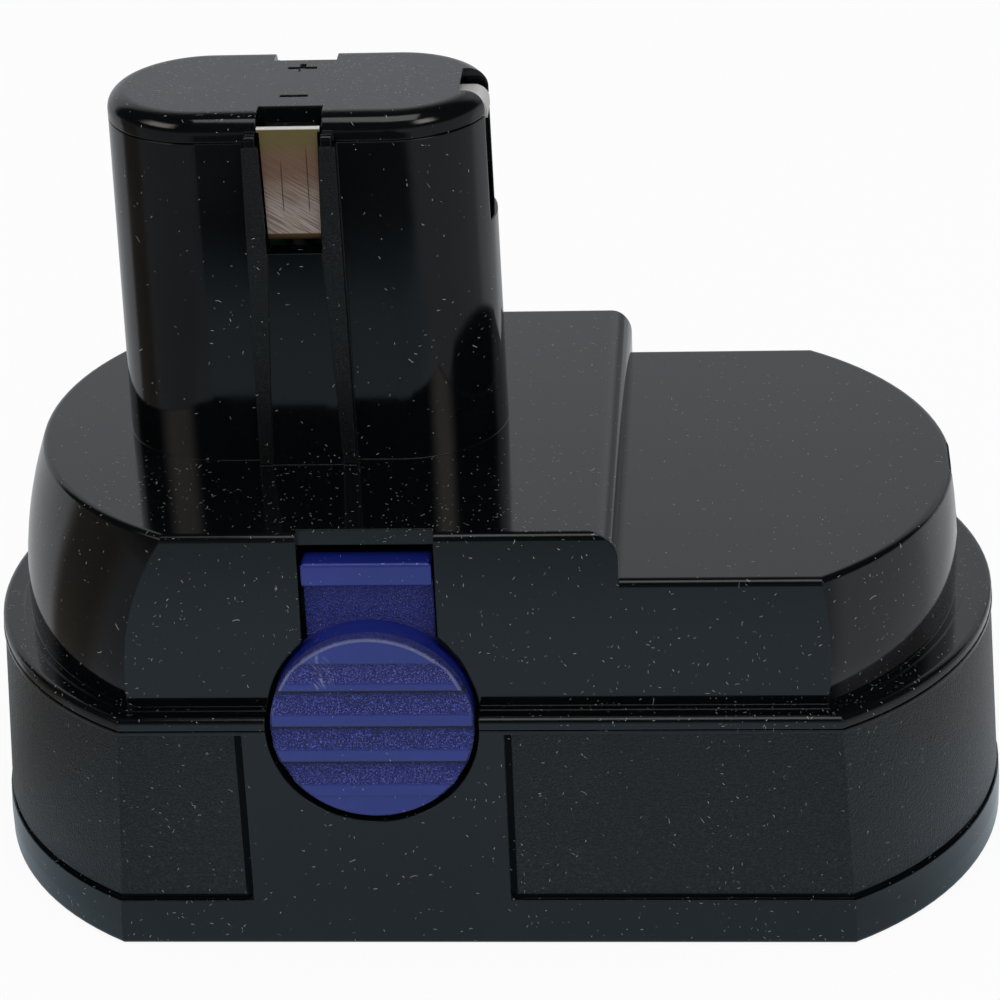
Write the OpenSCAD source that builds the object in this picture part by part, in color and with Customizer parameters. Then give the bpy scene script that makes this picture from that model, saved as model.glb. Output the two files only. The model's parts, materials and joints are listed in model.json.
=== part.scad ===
// Slide-stem battery pack for a hand-held power tool: a two-part housing with a tall contact stem,
// twelve cells inside, and two sprung side latches that let go of the tool when they are pressed.
// Front is -Y, the stem stands left of the middle, and the base rests on Z = 0.

/* [Housing heights] */
// Room between the sheet over the cells and the lower right part's top plate
low_room = 2.2; // [1.5:0.1:3]
// How far the raised left part stands above the lower right part
raised_step = 6.5; // [5.8:0.1:7.4]
// Ledge on which the tool's foot stops
ledge_z = 33.7; // [33:0.1:34.4]
// Thickness of the upper half's rim flange
flange_t = 1.6; // [1.2:0.1:2]
// Lower edge of the textured end panels
band_z = 6.7; // [5:0.1:9]

/* [Housing plan] */
// Half depth of the rim and of the lower housing
rim_half = 38.55; // [38.3:0.05:39]
// Width of the ledge at the front and the rear
ledge_w = 3.25; // [3:0.05:3.4]
// How much the upper housing narrows from the ledge to its raised top, each side
upper_draft = 0.5; // [0.3:0.05:0.7]
// How much the lower housing narrows in depth at its foot, each side
foot_taper = 0.2; // [0:0.05:0.4]
// Where the step from raised to lower top stands
step_x = 18; // [16:0.5:22]
// Rounding of the step's upper edge
step_r = 3.6; // [2:0.1:4.5]

/* [Housing ends] */
// Axis of the left end's round wall, left of the middle
left_axis = 18.6; // [18:0.1:19.2]
// Radius of the left end at the raised top
left_top_r = 40; // [39.6:0.1:40.4]
// Radius of the left end at the ledge
left_ledge_r = 43.8; // [43.4:0.1:44.2]
// How far the left end bulges beyond a straight line
left_bulge = 1.3; // [0.8:0.1:1.6]
// Axis of the right end's round wall, right of the middle
right_axis = 17.6; // [17:0.05:18.2]
// Radius of the right end at the lower top
right_top_r = 43.2; // [42.9:0.05:43.5]
// Radius of the right end at the ledge
right_ledge_r = 43.95; // [43.65:0.05:44.25]
// How far the right end bulges beyond a straight line
right_bulge = 0.5; // [0.3:0.1:0.8]
// Axes of the rim's round ends, each side of the middle
rim_axis = 20.3; // [19.8:0.1:20.8]
// Radius of the rim's round ends
rim_r = 46.1; // [45.8:0.1:46.4]
// How far the end walls spread from rim to panel foot
end_flare = 1.45; // [0.8:0.05:1.8]

/* [Housing walls] */
// Side wall of the upper housing
upper_wall = 2; // [1.8:0.1:2.2]
// Top plate of the upper housing
top_t = 1.8; // [1.5:0.1:2.1]
// Side wall of the lower housing
lower_wall = 2.4; // [2.1:0.1:2.6]
// Floor of the lower housing
floor_t = 2.4; // [2:0.1:2.8]
// Rounding of the upper housing's top edges
top_edge_r = 0.9; // [0.5:0.1:1.4]
// Rounding of the foot's lower edge
foot_edge_r = 0.7; // [0.4:0.1:1.5]
// Depth of the end panels below the smooth wall
panel_recess = 0.2; // [0.1:0.05:0.3]
// Width of the groove around the end panels
groove_w = 0.9; // [0.6:0.1:1.2]
// Depth of that groove below the smooth wall
groove_d = 0.6; // [0.4:0.1:0.8]
// Half width of the smooth middle between the panels
middle_half = 16.6; // [16:0.1:18]
// Height of the lip left above the end panels
panel_lip = 0.7; // [0.5:0.05:1]
// Height of the shadow groove where the halves meet
joint_gap = 0.22; // [0.15:0.01:0.3]
// Height of the low step on the ledge around the upper body
ledge_step = 0.08; // [0.05:0.01:0.15]

/* [Stem] */
// Middle of the stem along X
stem_x = -22.25; // [-23:0.05:-21.5]
// Stem length at its foot
stem_len = 50; // [49.6:0.1:50.6]
// Stem width at its foot
stem_w = 26.3; // [26.1:0.1:26.8]
// How much the stem narrows from foot to cap, over the whole width
stem_taper = 1.07; // [0.8:0.01:1.2]
// Wall of the stem
stem_wall = 1.4; // [1.3:0.05:1.45]
// Height of the cap
cap_h = 3.45; // [3.2:0.05:4]
// Rounding of the cap's top edge
cap_r = 2.4; // [1.5:0.1:2.8]
// Guide rib on the stem's front and rear, width at its foot
rib_foot_w = 12.5; // [12.2:0.1:13]
// Guide rib width at the cap
rib_top_w = 11.7; // [11.3:0.1:12]
// How far the guide rib stands out
rib_h = 1.75; // [1.5:0.05:2]
// Depth of the smooth track along the rib
track_d = 0.25; // [0.1:0.05:0.4]
// Width of the contact windows at their lower edge
window_w = 7; // [6.9:0.1:7.2]
// How much wider the contact windows are at the cap, each side
window_flare = 0.3; // [0.2:0.05:0.4]
// Height of the contact windows below the joint
window_h = 14.15; // [13.8:0.05:14.8]

/* [Latches] */
// Middle of the latches along X
latch_x = -13.35; // [-14:0.05:-12.8]
// Radius of the thumb pad
pad_r = 12.9; // [12.6:0.1:13.1]
// Height of the thumb pad's centre
pad_z = 32.2; // [31.8:0.1:32.6]
// Gap around the pad in the housing
pocket_gap = 0.65; // [0.5:0.05:0.8]
// Width of hook and neck
hook_w = 16.3; // [15.5:0.1:16.8]
// Gap beside hook and neck
slot_gap = 0.4; // [0.35:0.05:0.6]
// How far the hook's lower face lies below the raised top
hook_drop = 7.2; // [6.7:0.1:7.7]
// Height of the hook bar
hook_h = 3.2; // [2.6:0.1:3.4]
// How far the hook stands out of the neck
hook_reach = 2.1; // [1.6:0.1:2.3]
// Thickness of the neck plate
neck_t = 1.6; // [1.4:0.1:2]
// How far the neck's face lies behind the rim
neck_sink = 5.85; // [5.75:0.05:6.05]
// Thickness of the thumb pad
pad_t = 2.25; // [2:0.05:2.4]
// Depth of the finger grooves
scallop_d = 0.9; // [0.6:0.1:1]
// Height of one finger groove
scallop_h = 3.4; // [2.8:0.1:3.8]
// Distance between finger grooves
scallop_pitch = 5.1; // [4.8:0.1:5.3]
// Height of the pivot
pivot_z = 13; // [12:0.5:14]
// How far the pivot lies behind the rim
pivot_sink = 5.05; // [4.85:0.05:5.35]
// Diameter of the pivot studs
pivot_d = 3; // [2.6:0.1:3.4]
// Radial running clearance of the pivot studs
pivot_play = 0.05; // [0.03:0.01:0.08]

/* [Springs] */
// Mean coil radius
spring_r = 2.8; // [2.4:0.1:3]
// Wire diameter
spring_wire = 0.7; // [0.5:0.05:0.8]
// Number of coils
spring_turns = 6; // [4:1:7]
// Height of the spring axis
spring_z = 30; // [28:0.5:31]

/* [Cells] */
// Cell diameter
cell_d = 22; // [21.6:0.1:22]
// Cell length
cell_h = 42.5; // [42:0.1:42.8]
// Gap between neighbouring cells
cell_gap = 0.1; // [0.05:0.05:0.15]
// Thickness of the weld strips
strip_t = 0.3; // [0.2:0.05:0.4]
// Width of the weld strips
strip_w = 6; // [5:0.5:7]
// Thickness of the fibre sheets
sheet_t = 0.8; // [0.6:0.1:1]
// Gap between the weld strips and the sheet over them
sheet_gap = 0.1; // [0.05:0.05:0.2]
// Thickness of the leads
lead_d = 1.8; // [1.6:0.1:2]
// How far the leads run outside the stem cells
lead_out = 3; // [2.8:0.1:3.2]
// Width of the thermal switch
cutout_w = 6; // [5:0.5:6.5]
// Depth of the thermal switch
cutout_t = 3.4; // [3:0.1:3.6]
// Height of the thermal switch
cutout_h = 12; // [10:0.5:14]

/* [Contacts] */
// Thickness of the contact strips
contact_t = 0.6; // [0.4:0.05:0.7]
// Width of the contact strips at their lower bend
contact_w = 6.7; // [6.4:0.1:6.8]
// How far the contact strips stand above the joint
contact_rise = 2.2; // [1.8:0.1:2.4]
// How far the contacts lie behind the rib's face
contact_sink = 1.15; // [1:0.05:1.3]
// Length of the contact strips' bent foot
contact_foot = 4.4; // [4:0.1:4.6]
// Width of the contact strips' end above the joint
contact_end_w = 7.9; // [7.5:0.1:8]
// Height of the block that carries the contacts
carrier_h = 9.1; // [8.6:0.1:9.4]
// Gap between the strip on the stem cells and the carrier
carrier_gap = 0.2; // [0.1:0.05:0.6]
// How far the carrier's top lies below the joint of stem and cap
carrier_sink = 1.4; // [1.3:0.05:1.7]

/* [Screws] */
// Screw position along X, each side
screw_x = 39; // [37:0.5:40]
// Screw position along Y, each side
screw_y = 28; // [27.5:0.1:28.3]
// Thread diameter
screw_d = 3; // [2.8:0.1:3.2]
// Head diameter
screw_head_d = 5.6; // [5:0.1:5.8]
// Screw length under the head
screw_len = 28; // [24:1:30]

/* [Hidden] */
$fn = 96;

cell_pitch = cell_d + cell_gap;
cell_row = cell_pitch / 2;
cell_z = floor_t + sheet_t + strip_t;
cell_top = cell_z + cell_h;
insulator_z = cell_top + strip_t + sheet_gap;
stem_strip_z = insulator_z + sheet_t;
stem_cell_z = stem_strip_z + strip_t;
stem_cell_top = stem_cell_z + cell_h;
carrier_z = stem_cell_top + strip_t + carrier_gap;
carrier_top = carrier_z + carrier_h;
stem_top_z = carrier_top + carrier_sink;
low_top_z = stem_strip_z + low_room + top_t;
raised_top_z = low_top_z + raised_step;
hook_z = raised_top_z - hook_drop;
ledge_half = rim_half - ledge_w;
top_half = ledge_half - upper_draft;
parting_z = ledge_z - flange_t;
flare_deg = atan(end_flare / (parting_z - band_z));
pad_face_y = rim_half - 0.1;
pad_back_y = pad_face_y - pad_t;
neck_y = rim_half - neck_sink;
pivot_y = rim_half - pivot_sink;
leg_x = hook_w / 2 - 0.65;
rib_x = leg_x + 3.9;
pocket_r = pad_r + pocket_gap;
slot_half = hook_w / 2 + slot_gap;
stem_c = (stem_len - stem_w) / 2;
stem_end = stem_x + stem_len / 2;
window_z = stem_top_z - window_h;
contact_top_z = stem_top_z + contact_rise;
stem_slope = stem_taper / 2 / (stem_top_z - raised_top_z);
cap_half = stem_w / 2 - stem_taper / 2;
contact_y = cap_half + rib_h - contact_sink;
seat_y = 2 * cell_row + 4.9;
bead_z = cell_top - 10;
lead_z = stem_strip_z + 3.8;
lead_y = contact_y - 3.915;
boss_z = parting_z - 2;
boss_r = screw_head_d / 2 + 1.6;
head_z = 14;

// half depth of the upper housing's outer wall at a height
function wall_half(z) = ledge_half + (top_half - ledge_half) * (z - ledge_z) / (raised_top_z - ledge_z);

// half width of the stem's outer wall at a height
function stem_half(z) = stem_w / 2 - stem_slope * (z - raised_top_z);

// points of a quarter round of radius r about (x, z), from angle a to 90 degrees
function round_points(x, z, r, a, n) =
    [for (i = [0:n]) let (t = a + (90 - a) * i / n) [x + r * cos(t), z + r * sin(t)]];

// draws a section in (Y, Z) along X
module along_x(x0, x1) {
    translate([x0, 0, 0]) rotate([90, 0, 90]) linear_extrude(x1 - x0) children();
}

// draws a section in (X, Z) along Y
module along_y(y0, y1) {
    translate([0, y1, 0]) rotate([90, 0, 0]) linear_extrude(y1 - y0) children();
}

// rectangle about its middle with round corners
module round_rect(w, h, r) {
    square([w - 2 * r, h], center = true);
    square([w, h - 2 * r], center = true);
    for (x = [-1, 1], y = [-1, 1]) translate([x * (w / 2 - r), y * (h / 2 - r)]) circle(r);
}

// box between two corners
module block(a, b) {
    translate(a) cube([b[0] - a[0], b[1] - a[1], b[2] - a[2]]);
}

// section of the upper housing across its depth, with rounded top edges
module upper_section(z0, z1, inset, r) {
    h0 = wall_half(z0) - inset;
    hr = wall_half(z1 - r) - inset;
    right = r > 0 ? round_points(hr - r, z1 - r, r, 0, 5) : [[hr, z1]];
    left = [for (i = [len(right) - 1:-1:0]) [-right[i][0], right[i][1]]];
    polygon(concat([[-h0, z0], [h0, z0]], right, left));
}

// radial profile of a bulging end wall, with its top edge rounded
module end_profile(r0, r1, z0, z1, bulge, r) {
    run = norm([r1 - r0, z1 - z0]);
    n = [(z1 - z0) / run, (r0 - r1) / run];
    big = (run * run / 4 + bulge * bulge) / (2 * bulge);
    centre = [(r0 + r1) / 2, (z0 + z1) / 2] - n * (big - bulge);
    lean = atan((r0 - r1) / (z1 - z0)) + asin(run / 2 / big);
    arc = round_points(r1 + r * tan(lean) - r / cos(lean), z1 - r, r, lean, 5);
    first = arc[0] + (arc[0] - arc[1]);
    last = arc[5] + (arc[5] - arc[4]);
    difference() {
        union() {
            polygon([[0, z0], [r0, z0], [r1, z1], [0, z1]]);
            intersection() {
                translate(centre) circle(big);
                polygon([[r0, z0], [r0, z0] + n * bulge * 2, [r1, z1] + n * bulge * 2, [r1, z1]]);
            }
        }
        if (r > 0) polygon(concat([first], arc, [last, [r1 + 4, last[1]], [r1 + 4, first[1]]]));
    }
}

// everything inside the left end wall
module left_limit(z0, z1, inset, r) {
    translate([-left_axis, 0, 0]) rotate_extrude()
        end_profile(left_ledge_r - inset, left_top_r - inset, z0, z1, left_bulge, r);
    block([-left_axis, -60, z0], [90, 60, z1]);
}

// everything inside the right end wall, and all of the raised part
module right_limit(z0, low, high, inset, r) {
    translate([right_axis, 0, 0]) rotate_extrude()
        end_profile(right_ledge_r - inset, right_top_r - inset, z0, low, right_bulge, r);
    block([-95, -63, z0 - 1.2], [step_x - inset, 63, high + 1]);
}

// corner to take off the lower top's rear edge, so that the edge is round
module edge_corner(half, z, r) {
    arc = round_points(half - r, z - r, r, 0, 5);
    first = arc[0] + (arc[0] - arc[1]);
    last = arc[5] + (arc[5] - arc[4]);
    polygon(concat([first], arc, [last, [half + 4, last[1]], [half + 4, first[1]]]));
}

// body of the upper housing above the ledge, or its hollow when inset is the wall
module upper_form(z0, inset, top, r) {
    xs = step_x - inset;
    high = raised_top_z - top;
    low = low_top_z - top;
    difference() {
        intersection() {
            intersection() {
                along_x(-80, 80) upper_section(z0, high, inset, r);
                right_limit(z0, low, high, inset, r);
            }
            left_limit(z0, high, inset, r);
        }
        along_y(-64, 64) translate([xs - step_r, high - step_r]) difference() {
            square(step_r + 2);
            circle(step_r);
        }
        if (r > 0) front_and_rear() along_x(xs, 80) edge_corner(wall_half(low - r) - inset, low, r);
    }
}

// rim flange between the halves, with a rounded upper edge
module rim_form(z0, z1, inset, r) {
    half = rim_half - inset;
    arc = round_points(half - r, z1 - r, r, 0, 5);
    back = [for (i = [5:-1:0]) [-arc[i][0], arc[i][1]]];
    intersection() {
        along_x(-80, 80) polygon(concat([[-half, z0], [half, z0]], arc, back));
        rim_limit(-1, z0, z1, inset, r);
        rim_limit(1, z0, z1, inset, r);
    }
}

// everything inside one round end of the rim
module rim_limit(side, z0, z1, inset, r) {
    big = rim_r - inset;
    translate([side * rim_axis, 0, 0]) rotate_extrude()
        polygon(concat([[0, z0], [big, z0]], round_points(big - r, z1 - r, r, 0, 5), [[0, z1]]));
    if (side < 0) block([-rim_axis, -60, z0], [90, 60, z1]);
    else block([-90, -60, z0], [rim_axis, 60, z1]);
}

// body of the lower housing, or a smaller copy when inset is above zero
module lower_form(z0, z1, inset) {
    r = max(foot_edge_r - inset, 0.1);
    foot = rim_half - foot_taper - inset;
    edge = round_points(0, 0, r, 0, 5);
    right = [for (i = [5:-1:0]) [foot - r + edge[i][0], z0 + r - edge[i][1]]];
    left = [for (i = [5:-1:0]) [-right[i][0], right[i][1]]];
    intersection() {
        along_x(-80, 80) polygon(concat(right, [[rim_half - inset, z1], [inset - rim_half, z1]], left));
        lower_limit(-1, z0, z1, inset, r);
        lower_limit(1, z0, z1, inset, r);
        foot_limit(-1, z0, z1, inset, r);
        foot_limit(1, z0, z1, inset, r);
    }
}

// everything inside one spreading end wall of the lower housing
module lower_limit(side, z0, z1, inset, r) {
    translate([side * rim_axis, 0, parting_z]) rotate([0, -side * flare_deg, 0])
        translate([0, 0, -60]) cylinder(r = rim_r - inset, h = 120);
    if (side < 0) block([-rim_axis, -60, -20], [90, 60, 80]);
    else block([-90, -60, -20], [rim_axis, 60, 80]);
}

// everything inside one rounded foot end
module foot_limit(side, z0, z1, inset, r) {
    big = rim_r - inset;
    out = end_flare + 0.25;
    edge = round_points(0, 0, r, 0, 5);
    low = [for (i = [5:-1:0]) [big - r + edge[i][0], z0 + r - edge[i][1]]];
    translate([side * (rim_axis + out), 0, 0]) rotate_extrude()
        polygon(concat([[0, z0]], low, [[big, z1 + 1], [0, z1 + 1]]));
    if (side < 0) block([-rim_axis - out, -60, z0 - 1], [90, 60, z1 + 2]);
    else block([-90, -60, z0 - 1], [rim_axis + out, 60, z1 + 2]);
}

// region of one textured end panel, seen from the front
module panel_region(side, shrink) {
    r = 1.6 - shrink;
    edge_x = middle_half + shrink;
    low = band_z + shrink;
    high = parting_z - panel_lip;
    along_y(-60, 60) translate([latch_x, 0]) {
        if (side < 0) {
            translate([-100 - edge_x, low + r]) square([100, high - low - r]);
            translate([-100 - edge_x, low]) square([100 - r, high - low]);
            translate([-edge_x - r, low + r]) circle(r);
        } else {
            translate([edge_x, low + r]) square([130, high - low - r]);
            translate([edge_x + r, low]) square([130 - r, high - low]);
            translate([edge_x + r, low + r]) circle(r);
        }
    }
}

// stem or cap form: two round halves joined by a straight run
module stadium(z0, z1, w0, w1) {
    translate([stem_x, 0, 0]) {
        for (s = [-1, 1]) translate([s * stem_c, 0, 0]) rotate([0, 0, -90 * s]) rotate_extrude(angle = 180)
            polygon([[0, z0], [w0, z0], [w1, z1], [0, z1]]);
        along_x(-stem_c, stem_c) polygon([[-w0, z0], [w0, z0], [w1, z1], [-w1, z1]]);
    }
}

// guide rib on the stem's front
module rib(z0, z1) {
    f0 = stem_half(z0) + rib_h;
    f1 = stem_half(z1) + rib_h;
    intersection() {
        along_x(stem_x - 10, stem_x + 10)
            polygon([[-f0, z0], [-f0 + rib_h + 0.7, z0], [-f1 + rib_h + 0.7, z1], [-f1, z1]]);
        along_y(-30, 0) polygon([[stem_x - rib_foot_w / 2, z0], [stem_x + rib_foot_w / 2, z0],
                                 [stem_x + rib_top_w / 2, z1], [stem_x - rib_top_w / 2, z1]]);
    }
}

// shallow smooth track along the rib, below the window
module rib_track() {
    z0 = raised_top_z;
    z1 = window_z + 1;
    f0 = stem_half(z0) + rib_h - track_d;
    f1 = stem_half(z1) + rib_h - track_d;
    intersection() {
        along_x(stem_x - 10, stem_x + 10) polygon([[-f0 - 3, z0], [-f0, z0], [-f1, z1], [-f1 - 3, z1]]);
        along_y(-30, 0) polygon([[stem_x - rib_foot_w / 2 + 1.6, z0], [stem_x + rib_foot_w / 2 - 1.6, z0],
                                 [stem_x + window_w / 2 - 0.1, z1], [stem_x - window_w / 2 + 0.1, z1]]);
    }
}

// window in the stem's front wall, a little wider at the cap, where it is open
module front_window() {
    a = window_w / 2;
    b = a + window_flare;
    top = stem_top_z + 5;
    along_y(-20, -9) translate([stem_x, 0])
        polygon([[-a, window_z], [a, window_z], [b, stem_top_z], [b, top], [-b, top], [-b, stem_top_z]]);
}

// round opening for the thumb pad
module pad_pocket() {
    translate([latch_x, -neck_y + 4.7, pad_z]) rotate([90, 0, 0]) cylinder(r = pocket_r, h = 20);
}

// opening for one latch through the front wall of either half
module latch_opening() {
    pad_pocket();
    block([latch_x - slot_half, -50, pad_z], [latch_x + slot_half, -neck_y - 0.35, raised_top_z + 5]);
    block([latch_x - slot_half, -neck_y - 1.3, pad_z],
          [latch_x + slot_half, -neck_y + 2.7, raised_top_z - top_t - 0.4]);
}

// runs a child on both sides of the middle plane
module front_and_rear() {
    children();
    mirror([0, 1, 0]) children();
}

// runs a child at each of the four case screws
module at_screws() {
    for (x = [-1, 1], y = [-1, 1]) translate([x * screw_x, y * screw_y, 0]) children();
}

module upper_housing() {
    color([0.09, 0.1, 0.11]) difference() {
        union() {
            upper_form(ledge_z - 0.5, 0, 0, top_edge_r);
            rim_form(parting_z, ledge_z, 0, 0.8);
            ledge_foot(ledge_z - 0.4, ledge_z + ledge_step, 1.1);
            stadium(raised_top_z - 1, stem_top_z, stem_half(raised_top_z - 1), stem_half(stem_top_z));
            front_and_rear() rib(raised_top_z - 0.5, stem_top_z);
            register_lip();
        }
        difference() {
            union() {
                upper_form(parting_z - 5, upper_wall, top_t, 0);
                stadium(raised_top_z - 10, stem_top_z + 5, stem_half(raised_top_z - 10) - stem_wall,
                        stem_half(stem_top_z + 5) - stem_wall);
            }
            upper_fittings();
        }
        at_screws() translate([0, 0, boss_z - 1]) cylinder(d = screw_d - 0.5, h = 15);
        front_and_rear() latch_opening();
        front_and_rear() rib_track();
        front_and_rear() front_window();
        block([stem_x + 18, -4.1, window_z], [stem_x + 40, 4.1, stem_top_z + 5]);
        block([right_axis + right_top_r - 0.45, -4.3, low_top_z - 9],
              [right_axis + right_top_r + 5, 4.3, low_top_z + 1]);
    }
}

// low step on the ledge that runs round the upper body
module ledge_foot(z0, z1, out) {
    h = z1 - z0;
    intersection() {
        block([-80, -ledge_half - out, z0], [80, ledge_half + out, z1]);
        union() {
            translate([-left_axis, 0, z0 - 1]) cylinder(r = left_ledge_r + out, h = h + 2);
            block([-left_axis, -61, z0 - 2], [91, 61, z1 + 2]);
        }
        union() {
            translate([right_axis, 0, z0 - 1]) cylinder(r = right_ledge_r + out, h = h + 2);
            block([-92, -62, z0 - 3], [right_axis, 62, z1 + 3]);
        }
    }
}

// lip that drops into the lower half and keeps the two in line
module register_lip() {
    difference() {
        rim_form(parting_z - 2, parting_z + 0.5, lower_wall + 0.15, 0.3);
        rim_form(parting_z - 3, parting_z + 1, lower_wall + 1.35, 0.3);
        block([latch_x - pocket_r - 1, -60, parting_z - 4], [latch_x + pocket_r + 1, 60, parting_z]);
    }
}

// screw bosses and hold-down ribs inside the upper half
module upper_fittings() {
    at_screws() translate([0, 0, boss_z]) cylinder(r = 3.4, h = 60);
    for (y = [-1, 1]) {
        block([30, y * cell_row - 0.8, insulator_z + sheet_t + 0.1], [50, y * cell_row + 0.8, low_top_z]);
        block([-53, y * cell_row - 0.8, insulator_z + sheet_t + 0.1],
              [-47.5, y * cell_row + 0.8, raised_top_z]);
    }
}

module lower_housing() {
    color([0.1, 0.11, 0.12]) difference() {
        union() {
            difference() {
                lower_form(0, parting_z, 0);
                lower_form(floor_t, parting_z + 5, lower_wall);
                front_and_rear() pad_pocket();
            }
            at_screws() translate([0, 0, 0.5]) cylinder(r = boss_r, h = boss_z - 0.5);
            for (x = [-1, 1]) front_and_rear()
                block([x * screw_x - 0.8, -rim_half + 1, 1], [x * screw_x + 0.8, -screw_y, boss_z - 4]);
            front_and_rear() latch_seat();
            cell_ribs();
        }
        for (side = [-1, 1]) {
            difference() {
                panel_region(side, groove_w);
                lower_form(-1, parting_z + 10, panel_recess);
            }
            difference() {
                panel_region(side, 0);
                panel_region(side, groove_w);
                lower_form(-1, parting_z + 10, groove_d);
            }
        }
        at_screws() {
            translate([0, 0, -1]) cylinder(d = screw_head_d + 0.8, h = head_z + 1);
            cylinder(d = screw_d + 0.4, h = boss_z + 1);
        }
        parting_groove();
    }
}

// pivot ribs and spring wall for the front latch
module latch_seat() {
    for (s = [-1, 1]) translate([latch_x + s * rib_x, 0, 0]) difference() {
        union() {
            block([-1.5, -rim_half + 1, 1], [1.5, -seat_y + 1, pivot_z]);
            pivot_rod(2.9, 3);
        }
        pivot_rod(pivot_d / 2 + pivot_play, 6);
    }
    block([latch_x - rib_x - 1.5, -seat_y, 1], [latch_x + rib_x + 1.5, -seat_y + 1.6, pivot_z]);
    block([latch_x - 5, -seat_y, 1], [latch_x + 5, -seat_y + 1.6, spring_z + 5]);
    translate([latch_x, -seat_y + 1, spring_z]) rotate([90, 0, 0])
        cylinder(r = spring_r - spring_wire / 2 - 0.2, h = 2.4);
}

// round bar along X about the latch pivot
module pivot_rod(r, len) {
    translate([0, -pivot_y, pivot_z]) rotate([0, 90, 0]) cylinder(r = r, h = len, center = true);
}

// thin shadow groove all round, where the two halves meet
module parting_groove() {
    difference() {
        block([-90, -60, parting_z - joint_gap], [90, 60, parting_z + 1]);
        rim_form(parting_z - 2, parting_z + 3, 0.35, 0.1);
    }
}

// low ribs on the floor that keep the cell block from sliding
module cell_ribs() {
    for (x = [-1, 1]) block([x * 56.6 - 0.8, -10, 1], [x * 56.6 + 0.8, 10, 14]);
    for (x = [-33.15, 11.05, 33.15], y = [-1, 1])
        block([x - 8, y * 23.2 - 0.8, 1], [x + 8, y * 23.2 + 0.8, 12]);
}

module stem_cap() {
    z0 = stem_top_z;
    z1 = stem_top_z + cap_h;
    notch = contact_end_w / 2 + 0.13;
    color([0.08, 0.09, 0.1]) difference() {
        union() {
            translate([stem_x, 0, 0]) {
                for (s = [-1, 1]) translate([s * stem_c, 0, 0]) rotate([0, 0, -90 * s])
                    rotate_extrude(angle = 180) cap_profile(z0, z1);
                along_x(-stem_c, stem_c) {
                    cap_profile(z0, z1);
                    mirror([1, 0]) cap_profile(z0, z1);
                }
            }
            front_and_rear() for (s = [-1, 1]) cap_cheek(s);
            difference() {
                stadium(z0 - 1.2, z0 + 0.5, stem_half(z0) - stem_wall - 0.1, stem_half(z0) - stem_wall - 0.1);
                stadium(z0 - 2, z0 + 1, stem_half(z0) - stem_wall - 1.2, stem_half(z0) - stem_wall - 1.2);
            }
        }
        block([stem_x - 15, -6, z0 - 3], [stem_x + 21, 6, z1 - 1.3]);
        block([stem_x - notch, -30, z0 - 3], [stem_x + notch, -contact_y + 4.415, z1 + 1]);
        block([stem_x - notch, contact_y - 5.015, z0 - 3], [stem_x + notch, 30, z1 + 1]);
        block([stem_end - 4.4, -4.1, z0 - 3], [stem_end + 15, 4.1, z1 + 1]);
        translate([stem_x, 5.15, z1]) cube([3.75, 0.8, 0.6], center = true);
        translate([stem_x, 5.15, z1]) cube([0.8, 3, 0.6], center = true);
        translate([stem_x, -5.2, z1]) cube([3.55, 0.8, 0.6], center = true);
    }
}

// half section of the cap with its rounded top edge
module cap_profile(z0, z1) {
    polygon([[0, z0], [cap_half - 0.2, z0], [cap_half, z0 + 0.2], [cap_half, z1 - cap_r],
             [cap_half - cap_r, z1], [0, z1]]);
    intersection() {
        translate([cap_half - cap_r, z1 - cap_r]) circle(cap_r);
        translate([cap_half - cap_r, z1 - cap_r]) square(cap_r + 1);
    }
}

// small cheek that carries the guide rib on beside the cap's notch
module cap_cheek(s) {
    x = stem_x + s * 4.75;
    h = 1.5;
    r = 0.6;
    along_x(x - 0.7, x + 0.7) translate([-cap_half - rib_h, stem_top_z]) {
        square([rib_h + 2, h - r]);
        translate([r, 0]) square([rib_h + 2 - r, h]);
        translate([r, h - r]) circle(r);
    }
}

// latch as it stands at the front, at rest
module latch() {
    color([0.16, 0.17, 0.43]) {
        difference() {
            translate([latch_x, 0, pad_z]) rotate([90, 0, 0]) {
                translate([0, 0, neck_y - 0.2]) cylinder(r = pad_r, h = pad_face_y - neck_y - 0.15);
                translate([0, 0, pad_face_y - 0.35]) cylinder(r1 = pad_r, r2 = pad_r - 0.35, h = 0.35);
            }
            translate([latch_x, -pad_back_y, pad_z]) rotate([-90, 0, 0]) cylinder(r = pad_r - 2, h = 10);
            finger_grooves();
        }
        block([latch_x - hook_w / 2, -neck_y, pad_z + 9.5],
              [latch_x + hook_w / 2, -neck_y + neck_t, hook_z + 1]);
        hook();
        for (s = [-1, 1]) latch_leg(s);
        difference() {
            translate([latch_x, -pad_face_y + 1.5, spring_z]) rotate([-90, 0, 0])
                cylinder(r = spring_r + 1.6, h = 2.6);
            translate([latch_x, -pad_back_y, spring_z]) rotate([-90, 0, 0])
                cylinder(r = spring_r + spring_wire / 2 + 0.3, h = 6);
        }
    }
}

// hook bar with rounded edges at the top of the latch
module hook() {
    d = hook_reach + neck_t;
    intersection() {
        translate([0, 0, hook_z + hook_h / 2]) along_y(-neck_y - hook_reach, -neck_y + neck_t)
            translate([latch_x, 0]) round_rect(hook_w, hook_h, 0.5);
        translate([0, -neck_y - hook_reach + d / 2, hook_z + hook_h / 2])
            along_x(latch_x - 20, latch_x + 20) round_rect(d, hook_h, 0.4);
    }
}

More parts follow.
